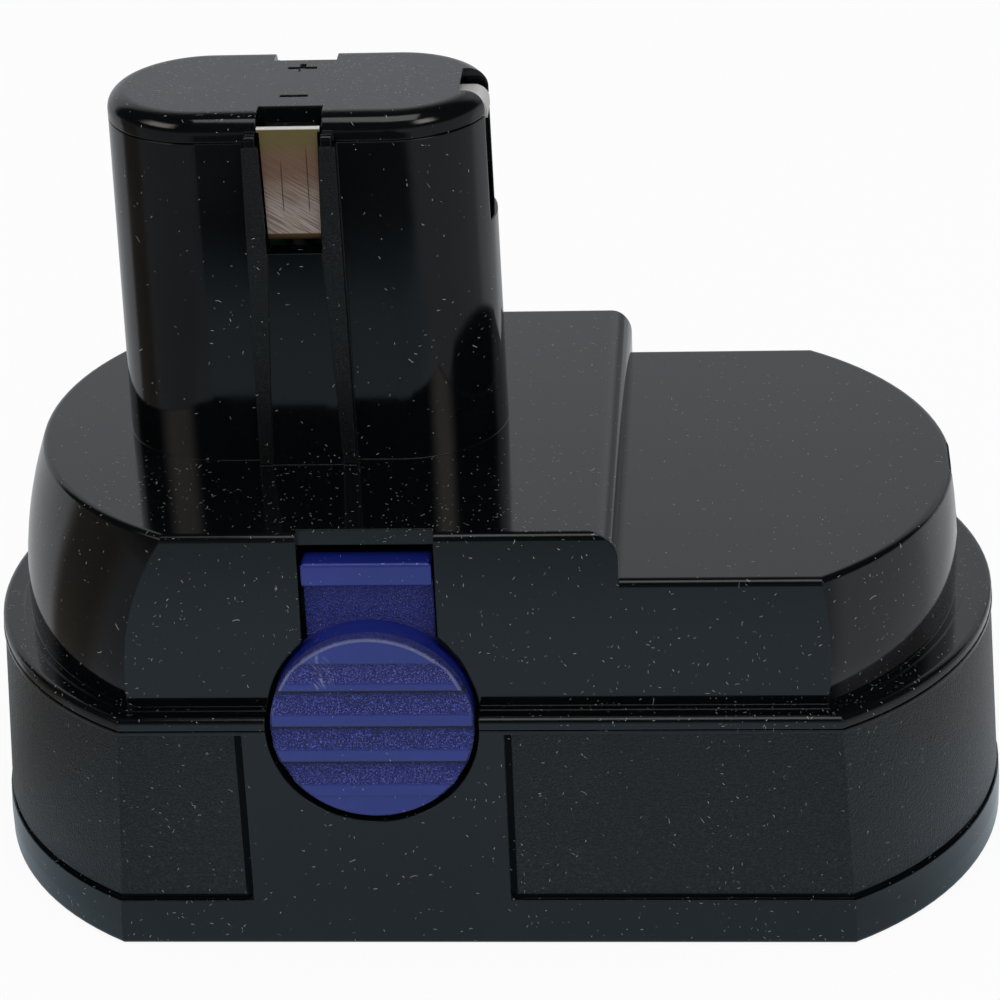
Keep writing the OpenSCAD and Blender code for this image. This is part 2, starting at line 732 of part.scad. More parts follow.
// leg with a round foot and a pivot stud
module latch_leg(s) {
    x0 = latch_x + s * leg_x;
    front = -pivot_y - 1.6;
    block([x0 - 2, front, pivot_z], [x0 + 2, -pivot_y + 1.1, pad_z - 8]);
    translate([x0 - 2, -pivot_y, pivot_z]) rotate([0, 90, 0]) cylinder(r = 1.6, h = 4);
    block([x0 - 2, front, pivot_z], [x0 + 2, -pivot_y, pivot_z + 3]);
    translate([x0, -pivot_y, pivot_z]) rotate([0, s * 90, 0]) cylinder(d = pivot_d, h = rib_x - leg_x + 1.3);
}

// concave grooves across the thumb pad
module finger_grooves() {
    big = (scallop_h * scallop_h / 4 + scallop_d * scallop_d) / (2 * scallop_d);
    for (i = [0:2]) {
        z = pad_z + 5.5 - i * scallop_pitch - scallop_h / 2;
        translate([latch_x, -pad_face_y - big + scallop_d, z])
            rotate([0, 90, 0]) cylinder(r = big, h = 60, center = true);
    }
    small_h = scallop_h - 0.5;
    small_d = scallop_d * 0.6;
    small = (small_h * small_h / 4 + small_d * small_d) / (2 * small_d);
    translate([latch_x, -pad_face_y - small + small_d, pad_z + 9.45 - small_h / 2])
        rotate([0, 90, 0]) cylinder(r = small, h = 60, center = true);
    block([latch_x - 20, -pad_face_y - 2, pad_z - 30],
          [latch_x + 20, -pad_face_y + 0.2, pad_z + 5.5 - 3 * scallop_pitch]);
}

module front_latch() {
    latch();
}

module rear_latch() {
    mirror([0, 1, 0]) latch();
}

// compression spring between the spring wall and the back of the pad
module latch_spring() {
    z0 = seat_y;
    z1 = pad_back_y;
    pitch = (z1 - z0) / spring_turns;
    span = 180 * spring_wire / pitch;
    n = 6;
    t = [for (i = [0:n]) 2 * i / n - 1];
    half = [for (i = [0:n]) spring_wire / 2 * max(sqrt(max(0, 1 - t[i] * t[i])), 0.1)];
    outer = [for (i = [0:n]) (spring_r + half[i]) * [cos(span * t[i]), sin(span * t[i])]];
    inner = [for (i = [n:-1:0]) (spring_r - half[i]) * [cos(span * t[i]), sin(span * t[i])]];
    color([0.7, 0.71, 0.72]) translate([latch_x, 0, spring_z]) rotate([90, 0, 0]) translate([0, 0, z0])
        linear_extrude(z1 - z0, twist = -360 * spring_turns, slices = 14 * spring_turns, $fn = 14)
            polygon(concat(outer, inner));
}

module front_latch_spring() {
    latch_spring();
}

module rear_latch_spring() {
    mirror([0, 1, 0]) latch_spring();
}

// bent contact strip behind the front window, with a short wide end at its top
module contact(top) {
    y = -contact_y;
    z = window_z + 1.25;
    r = contact_t + 0.4;
    a = contact_w / 2;
    b = a + window_flare;
    color([0.72, 0.7, 0.66]) {
        along_y(y, y + contact_t) translate([stem_x, 0])
            polygon([[-a, z + r], [a, z + r], [b, top], [-b, top]]);
        block([stem_x - contact_end_w / 2, y, max(top - 0.55, stem_top_z + 0.1)],
              [stem_x + contact_end_w / 2, y + contact_t, top]);
        block([stem_x - a, y + r, z], [stem_x + a, y + contact_foot, z + contact_t]);
        translate([stem_x - a, y + r, z + r]) rotate([0, 90, 0]) rotate([0, 0, -90])
            rotate_extrude(angle = 90) translate([0.4, 0]) square([contact_t, contact_w]);
    }
}

module front_contact() {
    contact(contact_top_z);
}

module rear_contact() {
    mirror([0, 1, 0]) contact(contact_top_z - 0.7);
}

// third contact at the stem's right end, bent over the carrier
module sense_contact() {
    x = stem_end - 2.9;
    z = stem_top_z;
    color([0.75, 0.75, 0.74]) {
        block([x - 3, -2.5, z + 1.4], [x, 2.5, z + 1.9]);
        translate([x, -2.5, z]) rotate([-90, 0, 0]) rotate([0, 0, -90])
            rotate_extrude(angle = 90) translate([1.4, 0]) square([0.5, 5]);
        block([x + 1.4, -2.5, z - 0.8], [x + 1.9, 2.5, z]);
        block([x - 3, -1, carrier_z + 0.2], [x - 2.5, 1, z + 1.9]);
        block([x - 3, -1, carrier_z + 0.2], [x + 0.4, 1, carrier_z + 0.6]);
    }
}

// block at the top of the stem that holds the three contacts
module contact_carrier() {
    half = stem_half(stem_top_z) - stem_wall - 0.3;
    y = contact_y - contact_t - 0.02;
    color([0.12, 0.12, 0.13]) difference() {
        union() {
            stadium(carrier_z, carrier_top, half, half);
            front_and_rear()
                block([stem_x - 3.2, -y, window_z + 2.3], [stem_x + 3.2, -y + 3.7, contact_top_z - 0.8]);
            block([stem_end - 10, -3.7, carrier_z], [stem_end - 1.7, 3.7, carrier_top]);
            block([stem_end - 5.2, -2.5, carrier_z + 2], [stem_end - 3, 2.5, stem_top_z + 1.4]);
        }
        block([stem_end - 6.1, -1.2, carrier_z - 1], [stem_end - 5.2, 1.2, stem_top_z + 3]);
        block([stem_end - 6.1, -1.2, carrier_z - 1], [stem_end - 2, 1.2, carrier_z + 0.8]);
    }
}

// one cell standing on its flat end
module cell() {
    r = cell_d / 2;
    h = cell_h;
    rotate_extrude()
        polygon([[0, 0], [r - 0.4, 0], [r, 0.4], [r, h - 3], [r - 0.35, h - 2.6], [r - 0.35, h - 2],
                 [r, h - 1.6], [r, h - 1.2], [r - 0.5, h - 0.8], [4.6, h - 0.8], [4.2, h], [0, h]]);
}

// five cells in a row, every second one upside down
module cell_row_group(first) {
    for (i = [0:4]) translate([(i - 2) * cell_pitch, 0, cell_z]) {
        if ((i + first) % 2 == 0) cell();
        else translate([0, 0, cell_h]) rotate([180, 0, 0]) cell();
    }
}

module front_row_cells() {
    color([0.2, 0.42, 0.3]) translate([0, -cell_row, 0]) cell_row_group(0);
}

module rear_row_cells() {
    color([0.2, 0.42, 0.3]) translate([0, cell_row, 0]) cell_row_group(1);
}

module stem_cells() {
    color([0.2, 0.42, 0.3]) translate([stem_x, 0, stem_cell_z]) {
        translate([-cell_row, 0, 0]) cell();
        translate([cell_row, 0, cell_h]) rotate([180, 0, 0]) cell();
    }
}

// flat strip with round ends between two points
module strip(x0, y0, x1, y1, z) {
    run = norm([x1 - x0, y1 - y0]);
    translate([x0, y0, z]) rotate([0, 0, atan2(y1 - y0, x1 - x0)]) {
        translate([0, -strip_w / 2, 0]) cube([run, strip_w, strip_t]);
        cylinder(d = strip_w, h = strip_t);
        translate([run, 0, 0]) cylinder(d = strip_w, h = strip_t);
    }
}

module top_links() {
    p = cell_pitch;
    color([0.78, 0.78, 0.76]) {
        for (y = [-1, 1]) strip(-p, y * cell_row, 0, y * cell_row, cell_top);
        for (y = [-1, 1]) strip(p, y * cell_row, 2 * p, y * cell_row, cell_top);
    }
}

module bottom_links() {
    p = cell_pitch;
    z = floor_t + sheet_t;
    color([0.78, 0.78, 0.76]) {
        for (y = [-1, 1]) strip(-2 * p, y * cell_row, -p, y * cell_row, z);
        for (y = [-1, 1]) strip(0, y * cell_row, p, y * cell_row, z);
        strip(2 * p, -cell_row, 2 * p, cell_row, z);
    }
}

// strips that bring the stem cells into the chain
module stem_links() {
    left = stem_x - cell_row;
    right = stem_x + cell_row;
    color([0.78, 0.78, 0.76]) {
        strip(left, 0, -2 * cell_pitch, cell_row, stem_strip_z);
        translate([-2 * cell_pitch, cell_row, cell_top]) cylinder(r = 2, h = stem_strip_z - cell_top + 0.1);
        strip(left, 0, right, 0, stem_cell_top);
        strip(right, 0, right, cell_d / 2 + lead_out - 0.5, stem_strip_z);
    }
}

module top_insulator() {
    p = cell_pitch;
    color([0.72, 0.62, 0.42]) difference() {
        translate([0, 0, insulator_z]) linear_extrude(sheet_t) {
            square([4 * p, 4 * cell_row], center = true);
            square([5 * p - 6, 2 * cell_row], center = true);
        }
        translate([-2 * p, -cell_row, 0]) cylinder(r = 4.6, h = 100);
        translate([-2 * p, cell_row, 0]) cylinder(r = 3, h = 100);
        translate([cell_row, 0, 0]) cylinder(r = 1.2, h = 100);
        translate([3 * cell_row, 0, 0]) cylinder(r = 1, h = 100);
    }
}

module bottom_pad() {
    p = cell_pitch;
    color([0.72, 0.62, 0.42]) translate([0, 0, floor_t]) linear_extrude(sheet_t)
        square([5 * p - 4, 4 * cell_row], center = true);
}

// insulated wire through a list of points
module wire(points, r) {
    for (i = [0:len(points) - 2]) {
        d = points[i + 1] - points[i];
        translate(points[i]) rotate([0, acos(d[2] / norm(d)), atan2(d[1], d[0])])
            cylinder(r = r, h = norm(d));
        if (i > 0) translate(points[i]) sphere(r * 1.08);
    }
}

module front_lead() {
    x = -2 * cell_pitch + 1;
    y = -cell_d / 2 - lead_out;
    color([0.05, 0.05, 0.05])
        wire([[stem_x, -lead_y, window_z + 1.25], [stem_x, -lead_y, lead_z + 2], [stem_x, y, lead_z],
              [x, y, lead_z], [x, y, cell_top]], lead_d / 2);
}

module rear_lead() {
    x = stem_x + cell_row;
    y = cell_d / 2 + lead_out;
    color([0.6, 0.05, 0.05])
        wire([[stem_x, lead_y, window_z + 1.25], [stem_x, lead_y, lead_z + 2], [stem_x, y, lead_z],
              [x, y, lead_z], [x, y, stem_strip_z + strip_t]], lead_d / 2);
}

module sense_lead() {
    x = stem_end - 2.55;
    z = stem_strip_z + 1;
    color([0.85, 0.8, 0.2])
        wire([[cell_row, 0, bead_z + 2], [cell_row, 0, z], [x + 3.8, 0, z], [x, 0, lead_z + 2],
              [x, 0, carrier_z + 0.2]], 0.3);
}

module thermistor() {
    color([0.1, 0.12, 0.1]) translate([cell_row, 0, 0]) {
        translate([0, 0, bead_z]) sphere(2);
        translate([0, 0, bead_z]) cylinder(r = 0.9, h = 2);
    }
}

// thermal switch between four cells, with its tail folded onto the top sheet
module thermal_cutout() {
    color([0.6, 0.6, 0.62]) translate([3 * cell_row, 0, 0]) {
        block([-cutout_w / 2, -cutout_t / 2, bead_z + 4 - cutout_h],
              [cutout_w / 2, cutout_t / 2, bead_z + 4]);
        translate([0, 0, bead_z + 3]) cylinder(r = 0.6, h = stem_strip_z - bead_z - 2.4);
        translate([0, 0, stem_strip_z]) cylinder(r = 1.6, h = 0.25);
    }
}

module housing_screws() {
    color([0.55, 0.56, 0.58]) for (x = [-1, 1], y = [-1, 1]) translate([x * screw_x, y * screw_y, head_z]) {
        difference() {
            translate([0, 0, -2]) cylinder(d = screw_head_d, h = 2);
            translate([0, 0, -2.1]) cube([3.2, 0.8, 2.2], center = true);
            translate([0, 0, -2.1]) cube([0.8, 3.2, 2.2], center = true);
        }
        cylinder(d = screw_d, h = screw_len - 2);
        translate([0, 0, screw_len - 2]) cylinder(d1 = screw_d, d2 = 0.6, h = 2);
    }
}

upper_housing();
lower_housing();
stem_cap();
front_latch();
rear_latch();
front_latch_spring();
rear_latch_spring();
front_contact();
rear_contact();
sense_contact();
contact_carrier();
front_row_cells();
rear_row_cells();
stem_cells();
top_links();
bottom_links();
stem_links();
top_insulator();
bottom_pad();
front_lead();
rear_lead();
sense_lead();
thermistor();
thermal_cutout();
housing_screws();
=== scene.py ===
# %% [markdown]
# # A battery pack for a cordless tool
# The imported model is the fixed frame: every piece below is in metres, in the same frame as the solids.
# Front is -Y, up is +Z, and the base rests on Z = 0. This cell loads the frame.

# %% Load the frame
import json
import math
import bpy
import bmesh
from mathutils import Matrix, Vector


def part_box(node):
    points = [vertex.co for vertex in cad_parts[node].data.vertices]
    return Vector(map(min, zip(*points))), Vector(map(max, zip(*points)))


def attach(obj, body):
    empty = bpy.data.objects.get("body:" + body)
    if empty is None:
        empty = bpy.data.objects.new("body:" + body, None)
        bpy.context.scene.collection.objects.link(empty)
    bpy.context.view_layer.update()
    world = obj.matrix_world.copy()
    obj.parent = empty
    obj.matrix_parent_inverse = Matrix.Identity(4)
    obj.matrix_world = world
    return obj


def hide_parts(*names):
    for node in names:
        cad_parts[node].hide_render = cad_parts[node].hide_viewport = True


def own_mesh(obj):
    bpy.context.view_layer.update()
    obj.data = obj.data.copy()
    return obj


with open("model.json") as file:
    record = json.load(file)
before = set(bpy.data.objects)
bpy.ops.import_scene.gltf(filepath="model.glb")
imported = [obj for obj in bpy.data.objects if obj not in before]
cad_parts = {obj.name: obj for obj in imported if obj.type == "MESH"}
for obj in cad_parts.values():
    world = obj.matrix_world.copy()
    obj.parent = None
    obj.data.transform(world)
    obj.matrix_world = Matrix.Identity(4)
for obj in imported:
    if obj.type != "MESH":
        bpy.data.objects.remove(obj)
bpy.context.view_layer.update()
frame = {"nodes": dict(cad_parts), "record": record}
nodes = frame["nodes"]
MM = 0.001

# %% [markdown]
# ## Camera
# A camera can be aimed by eye, but then edges never quite fall where they should. Here the view was worked
# out from the edges of the pack: a long lens, tilted 26 degrees down and turned a few degrees to one side.
# The three rows are the camera's right, down and forward directions, so one matrix places it.

# %% Place the camera
RIGHT = Vector((0.9976151, 0.0577861, -0.0377464))
DOWN = Vector((-0.0080302, -0.4459909, -0.8950015))
FORWARD = Vector((-0.0685532, 0.8931701, -0.4444632))
PLACE = Vector((33.890, -427.417, 257.822)) * MM
FOCAL_PX, IMAGE_PX, SENSOR_MM = 3586.854, 1000.0, 36.0

camera = bpy.data.objects.new("camera", bpy.data.cameras.new("camera"))
bpy.context.scene.collection.objects.link(camera)
camera.data.sensor_width = SENSOR_MM
camera.data.lens = FOCAL_PX * SENSOR_MM / IMAGE_PX
camera.data.clip_start, camera.data.clip_end = 0.01, 20.0
turn = Matrix((RIGHT, -DOWN, -FORWARD)).transposed().to_4x4()
camera.matrix_world = Matrix.Translation(PLACE) @ turn
bpy.context.scene.camera = camera
print("lens in mm:", round(camera.data.lens, 2))

# %% [markdown]
# ## Node helpers
# Materials, the floor and the world are all node trees, and most of their nodes do small sums. A few
# helpers keep the trees readable: each takes numbers or sockets and returns a socket.


# %% Node helpers
def add(tree, kind, **values):
    """Adds a node to a tree and sets its attributes."""
    n = tree.nodes.new(kind)
    for key, value in values.items():
        setattr(n, key, value)
    return n


def link(tree, a, b):
    """Joins an output to an input."""
    tree.links.new(a, b)


def math_node(tree, operation, a, b=None, c=None):
    """A Math node whose inputs are numbers or sockets; returns its output."""
    n = add(tree, "ShaderNodeMath", operation=operation)
    for i, v in enumerate((a, b, c)):
        if v is None:
            continue
        if isinstance(v, (int, float)):
            n.inputs[i].default_value = v
        else:
            link(tree, v, n.inputs[i])
    return n.outputs[0]


def ramp(tree, value, low, high, to_low=0.0, to_high=1.0):
    """Maps low..high to to_low..to_high with soft ends; returns the output socket."""
    n = add(tree, "ShaderNodeMapRange", interpolation_type="SMOOTHSTEP")
    link(tree, value, n.inputs["Value"])
    for name, v in (("From Min", low), ("From Max", high), ("To Min", to_low), ("To Max", to_high)):
        n.inputs[name].default_value = v
    return n.outputs["Result"]


# %% Mixing helpers
def blend(tree, fac, a, b):
    """a where fac is 0 and b where it is 1; all are numbers or sockets."""
    return math_node(tree, "MULTIPLY_ADD", fac, math_node(tree, "SUBTRACT", b, a), a)


def blend_colour(t, fac, a, b):
    """Mixes two colours; each is a socket or three numbers."""
    n = add(t, "ShaderNodeMix", data_type="RGBA")
    link(t, fac, n.inputs[0])
    for i, c in ((6, a), (7, b)):
        if isinstance(c, tuple):
            n.inputs[i].default_value = (*c, 1)
        else:
            link(t, c, n.inputs[i])
    return n.outputs[2]


def times(tree, *values):
    """Product of several numbers or sockets."""
    result = values[0]
    for v in values[1:]:
        result = math_node(tree, "MULTIPLY", result, v)
    return result


# %% Place helpers
def split(tree, vector):
    """The x, y and z of a vector."""
    n = add(tree, "ShaderNodeSeparateXYZ")
    link(tree, vector, n.inputs[0])
    return n.outputs


def distance(tree, a, b):
    """How far the point (a, b) lies from the middle."""
    return math_node(tree, "SQRT", math_node(tree, "ADD", times(tree, a, a), times(tree, b, b)))


def noise(tree, place, scale, detail, distortion=0.0):
    """A noise pattern; scale is a number or a socket."""
    n = add(tree, "ShaderNodeTexNoise")
    link(tree, place, n.inputs["Vector"])
    n.inputs["Detail"].default_value = detail
    n.inputs["Distortion"].default_value = distortion
    if isinstance(scale, float):
        n.inputs["Scale"].default_value = scale
    else:
        link(tree, scale, n.inputs["Scale"])
    return n.outputs[0]


# %% [markdown]
# ## Studio
# Black gloss plastic shows little colour of its own: what we see is the room in it. Modelling that room
# wall by wall would be slow, so the world and the floor say by formula how bright they look in a
# reflection. The room is pale behind the pack, brownish at the left, and dark above and behind the camera,
# with a tall bright window on each side of the camera. To the camera itself everything is white.

# %% Levels of the room
PALE_BACK = 0.64    # room and floor behind the pack
FRONT_FLOOR = 0.55  # floor between the pack and the camera
DARK = 0.03         # ceiling, and the room behind the camera
FILL = 0.6          # light that the room throws on matte surfaces
CAMERA_WHITE = 0.92  # share of plain white in the floor that the camera sees
RIGHT_WINDOW, LEFT_WINDOW = 3.6, 2.6
WARM, COOL = (1.08, 1.0, 0.92), (0.97, 1.0, 1.06)
FLOOR_PLAIN, FLOOR_BLUE, FLOOR_BROWN = (0.98, 1.0, 1.04), (0.78, 1.0, 1.15), (1.16, 1.0, 0.82)


# %% Room seen in reflections
def room_light(tree, direction):
    """Brightness and colour of the room in a direction: pale behind, brown at the left, dark overhead."""
    x, y, z = split(tree, direction)
    behind = ramp(tree, y, 0.42, 0.64)
    level = blend(tree, behind, blend(tree, ramp(tree, x, -0.3, 0.3), 0.13, 0.3), PALE_BACK)
    low_right = times(tree, ramp(tree, x, 0.18, 0.36), ramp(tree, z, 0.3, 0.12))
    level = blend(tree, low_right, level, 0.3)
    high = ramp(tree, z, 0.55, 0.82)
    near_side = times(tree, ramp(tree, z, -0.02, 0.12), ramp(tree, y, 0.62, 0.42))
    level = blend(tree, math_node(tree, "MAXIMUM", high, near_side), level, DARK)
    bearing = math_node(tree, "ARCTAN2", x, math_node(tree, "MULTIPLY", y, -1.0))
    tall = times(tree, ramp(tree, z, 0.33, 0.41), ramp(tree, z, 0.75, 0.6))
    on_right = times(tree, ramp(tree, bearing, 0.45, 0.72), ramp(tree, bearing, 1.1, 0.82), RIGHT_WINDOW)
    on_left = times(tree, ramp(tree, bearing, -1.5, -1.05), ramp(tree, bearing, -0.5, -0.8), LEFT_WINDOW)
    windows = times(tree, tall, math_node(tree, "ADD", on_left, on_right))
    level = math_node(tree, "ADD", level, windows)
    return level, blend_colour(tree, ramp(tree, y, 0.4, 0.65), WARM, COOL)


# %% Floor seen in reflections
def floor_light(tree, x, y):
    """Brightness and colour that the floor shows in reflections, from the place on it in metres."""
    level = ramp(tree, y, 0.02, 0.08, FRONT_FLOOR, PALE_BACK)
    # Painted shadow: darker near the pack than farther in front of it.
    level = times(tree, level, ramp(tree, y, -0.045, -0.1, 0.84, 1.0))
    level = times(tree, level, ramp(tree, y, -0.12, -0.18, 1.0, 0.55))
    level = times(tree, level, ramp(tree, y, -0.198, -0.252, 1.0, 0.1))
    bearing_l = math_node(tree, "ARCTAN2", y, math_node(tree, "MULTIPLY_ADD", x, -1.0, -0.04))
    aside = ramp(tree, x, -0.06, -0.13)
    level = blend(tree, times(tree, aside, ramp(tree, bearing_l, 0.36, 0.2)), level, 0.22)
    brown = times(tree, aside, ramp(tree, bearing_l, 0.36, 0.18), ramp(tree, bearing_l, -0.3, -0.08))
    level = blend(tree, brown, level, 0.11)
    bearing_r = math_node(tree, "ARCTAN2", y, math_node(tree, "ADD", x, -0.02))
    right = times(tree, ramp(tree, x, 0.06, 0.13), ramp(tree, bearing_r, 0.42, 0.22))
    level = blend(tree, right, level, 0.34)
    # Painted pool of light close to the right of the foot.
    close_right = times(tree, ramp(tree, x, 0.056, 0.074), ramp(tree, x, 0.12, 0.09))
    level = blend(tree, times(tree, close_right, ramp(tree, y, -0.07, -0.035)), level, 0.65)
    sides = math_node(tree, "MAXIMUM", ramp(tree, x, 0.06, 0.12), aside)
    ahead = times(tree, ramp(tree, y, 0.05, -0.05), math_node(tree, "SUBTRACT", 1.0, sides))
    tint = blend_colour(tree, ahead, FLOOR_PLAIN, FLOOR_BLUE)
    return level, blend_colour(tree, brown, tint, FLOOR_BROWN)


# %% World
world = bpy.data.worlds.new("studio")
bpy.context.scene.world = world
world.use_nodes = True
wt = world.node_tree
wt.nodes.clear()
level, tint = room_light(wt, add(wt, "ShaderNodeTexCoord").outputs["Generated"])
path = add(wt, "ShaderNodeLightPath")
mirrored = path.outputs["Is Glossy Ray"]
open_view = math_node(wt, "MAXIMUM", path.outputs["Is Camera Ray"], path.outputs["Is Transmission Ray"])
strength = blend(wt, open_view, blend(wt, mirrored, FILL, level), 1.0)
back = add(wt, "ShaderNodeBackground")
link(wt, blend_colour(wt, mirrored, (1, 1, 1), tint), back.inputs["Color"])
link(wt, strength, back.inputs["Strength"])
link(wt, back.outputs[0], add(wt, "ShaderNodeOutputWorld").inputs["Surface"])
print("world nodes:", len(wt.nodes))

# %% [markdown]
# The floor is one plain sheet. A floor lit only by lamps would come out grey towards its far end, so it is
# white to the camera by itself, apart from a small share that is left to real light. That share keeps the
# pack's soft shadow.

# %% Floor
floor_mesh = bpy.data.meshes.new("floor")
bm = bmesh.new()
bmesh.ops.create_grid(bm, x_segments=1, y_segments=1, size=3.0)
bm.to_mesh(floor_mesh)
bm.free()
floor = bpy.data.objects.new("floor", floor_mesh)
bpy.context.scene.collection.objects.link(floor)
floor.location.z = -0.2 * MM  # just under the base, so that the two faces do not coincide
print("floor in m:", tuple(floor.dimensions))

# %% Floor material
floor_mat = bpy.data.materials.new("pale_floor")
floor_mat.use_nodes = True
ft = floor_mat.node_tree
ft.nodes.clear()
x, y, _ = split(ft, add(ft, "ShaderNodeTexCoord").outputs["Object"])
level, tint = floor_light(ft, x, y)
matte = add(ft, "ShaderNodeBsdfDiffuse")
matte.inputs["Color"].default_value = (0.86, 0.86, 0.86, 1)
mirrored = add(ft, "ShaderNodeEmission")
link(ft, tint, mirrored.inputs["Color"])
link(ft, level, mirrored.inputs["Strength"])
white = add(ft, "ShaderNodeEmission")
seen = add(ft, "ShaderNodeLightPath")
first, second = add(ft, "ShaderNodeMixShader"), add(ft, "ShaderNodeMixShader")
link(ft, seen.outputs["Is Glossy Ray"], first.inputs[0])
link(ft, matte.outputs[0], first.inputs[1])
link(ft, mirrored.outputs[0], first.inputs[2])
link(ft, math_node(ft, "MULTIPLY", seen.outputs["Is Camera Ray"], CAMERA_WHITE), second.inputs[0])
link(ft, first.outputs[0], second.inputs[1])
link(ft, white.outputs[0], second.inputs[2])
link(ft, second.outputs[0], add(ft, "ShaderNodeOutputMaterial").inputs["Surface"])
floor_mesh.materials.append(floor_mat)
print("floor nodes:", len(ft.nodes))


# %% [markdown]
# Two soft boxes give the matte parts their light. A single lamp left either the top or the front in the
# dark. Only the upper one shows in reflections, where it draws the thin bright lines along rounded edges.


# %% Lamps
def soft_lamp(name, place, aim, size, watts):
    """A square soft box that looks at a point."""
    data = bpy.data.lights.new(name, "AREA")
    data.size = size
    data.energy = watts
    lamp = bpy.data.objects.new(name, data)
    bpy.context.scene.collection.objects.link(lamp)
    lamp.location = place
    lamp.rotation_euler = (Vector(aim) - Vector(place)).to_track_quat("-Z", "Y").to_euler()
    return lamp


AIM = (0.0, 0.0, 0.04)
soft_lamp("top_box", (0.1, -0.4, 1.05), AIM, 0.6, 2.2)
front_box = soft_lamp("front_box", (0.1, -1.0, 0.75), AIM, 1.1, 6.0)
front_box.visible_glossy = False

# %% [markdown]
# ## Finishes shared by several materials
# Three effects return on nearly every surface: specks of dust, the fine grain that spark erosion leaves in
# a mould, and the faint smears of handling. Each is one node group with named inputs, so that every
# material sets its own strength.
#
# Dust could be thousands of tiny meshes, but it lies flat and is thinner than a pixel, so it is drawn in
# the material. A 2D cell pattern gives one random point per cell. Round specks and short bowed hairs are
# drawn about these points, on the plane that the surface faces.


# %% Group builder
def new_group(name, inputs, outputs):
    """An empty shader node group with float inputs (name, value) and float outputs."""
    g = bpy.data.node_groups.new(name, "ShaderNodeTree")
    g.interface.new_socket("Place", in_out="INPUT", socket_type="NodeSocketVector")
    for n, v in inputs:
        g.interface.new_socket(n, in_out="INPUT", socket_type="NodeSocketFloat").default_value = v
    for n in outputs:
        g.interface.new_socket(n, in_out="OUTPUT", socket_type="NodeSocketFloat")
    return g, add(g, "NodeGroupInput"), add(g, "NodeGroupOutput")


# %% Dust group
dust_group, gi, go = new_group("dust_and_lint", [("Amount", 1.0)], ["Mask"])
dust_group.interface.new_socket("Facing", in_out="INPUT", socket_type="NodeSocketVector")
dg = dust_group
x, y, z = split(dg, gi.outputs["Place"])
out = add(dg, "ShaderNodeVectorMath", operation="ABSOLUTE")
link(dg, gi.outputs["Facing"], out.inputs[0])
out_x, out_y, out_z = split(dg, out.outputs[0])
flat = math_node(dg, "GREATER_THAN", out_z, 0.6)
ahead = math_node(dg, "GREATER_THAN", out_y, out_x)
sheet = add(dg, "ShaderNodeCombineXYZ")
not_end = math_node(dg, "MAXIMUM", flat, ahead)
link(dg, blend(dg, not_end, y, x), sheet.inputs["X"])
link(dg, blend(dg, flat, z, y), sheet.inputs["Y"])
patches = noise(dg, gi.outputs["Place"], 70.0, 3.0)
often = times(dg, ramp(dg, patches, 0.38, 0.68, 0.35, 1.7), gi.outputs["Amount"])


# %% Specks and hairs
def scatter(tree, scale):
    """One random point per patch of the sheet: offset from it, and three random numbers."""
    patch = add(tree, "ShaderNodeTexVoronoi", voronoi_dimensions="2D")
    patch.inputs["Scale"].default_value = scale
    link(tree, sheet.outputs[0], patch.inputs["Vector"])
    away = add(tree, "ShaderNodeVectorMath", operation="SUBTRACT")
    link(tree, sheet.outputs[0], away.inputs[0])
    link(tree, patch.outputs["Position"], away.inputs[1])
    dx, dy, _ = split(tree, away.outputs[0])
    luck = add(tree, "ShaderNodeSeparateColor")
    link(tree, patch.outputs["Color"], luck.inputs[0])
    return dx, dy, luck.outputs


def pick(tree, number, factor):
    """A further random number made from another one."""
    return math_node(tree, "FRACT", times(tree, number, factor))


def hairs(tree, scale, chance, length, width, curl):
    """Short bowed hairs, lengths in metres."""
    dx, dy, luck = scatter(tree, scale)
    angle = times(tree, luck[0], 12.6)
    ca, sa = math_node(tree, "COSINE", angle), math_node(tree, "SINE", angle)
    along = math_node(tree, "ADD", times(tree, dx, ca), times(tree, dy, sa))
    across = math_node(tree, "SUBTRACT", times(tree, dy, ca), times(tree, dx, sa))
    bow = times(tree, math_node(tree, "SUBTRACT", luck[1], 0.5), curl, along, along)
    beside = math_node(tree, "ABSOLUTE", math_node(tree, "ADD", across, bow))
    thin = math_node(tree, "LESS_THAN", beside, width)
    reach = math_node(tree, "MULTIPLY_ADD", luck[2], length, length * 0.3)
    short = math_node(tree, "LESS_THAN", math_node(tree, "ABSOLUTE", along), reach)
    here = math_node(tree, "LESS_THAN", pick(tree, luck[1], 7.31), times(tree, often, chance))
    strength = math_node(tree, "MULTIPLY_ADD", pick(tree, luck[2], 5.7), 0.7, 0.25)
    return times(tree, thin, short, here, strength)


def specks(tree, scale, chance, size):
    """Round specks, sizes in metres."""
    dx, dy, luck = scatter(tree, scale)
    away = distance(tree, dx, dy)
    wide = math_node(tree, "MULTIPLY_ADD", luck[0], size, size * 0.3)
    here = math_node(tree, "LESS_THAN", luck[1], times(tree, often, chance))
    spot = math_node(tree, "LESS_THAN", away, wide)
    return times(tree, spot, here, math_node(tree, "MULTIPLY_ADD", luck[2], 0.7, 0.2))


# %% Dust layers
layers = [specks(dg, 1500.0, 0.1, 0.00004), specks(dg, 420.0, 0.02, 0.00006),
          hairs(dg, 1300.0, 0.15, 0.00018, 0.000024, 2500.0), hairs(dg, 300.0, 0.1, 0.0004, 0.000024, 1500.0)]
mask = layers[0]
for layer in layers[1:]:
    mask = math_node(dg, "MAXIMUM", mask, layer)
link(dg, mask, go.inputs["Mask"])
print("dust layers:", len(layers))

# %% [markdown]
# Real grain is a field of tiny craters, and smears are films of skin grease. Neither repeats, so plain noise
# serves for both, where a tiled pattern would show: fine and sharp for the grain, broad and distorted for
# the smears.

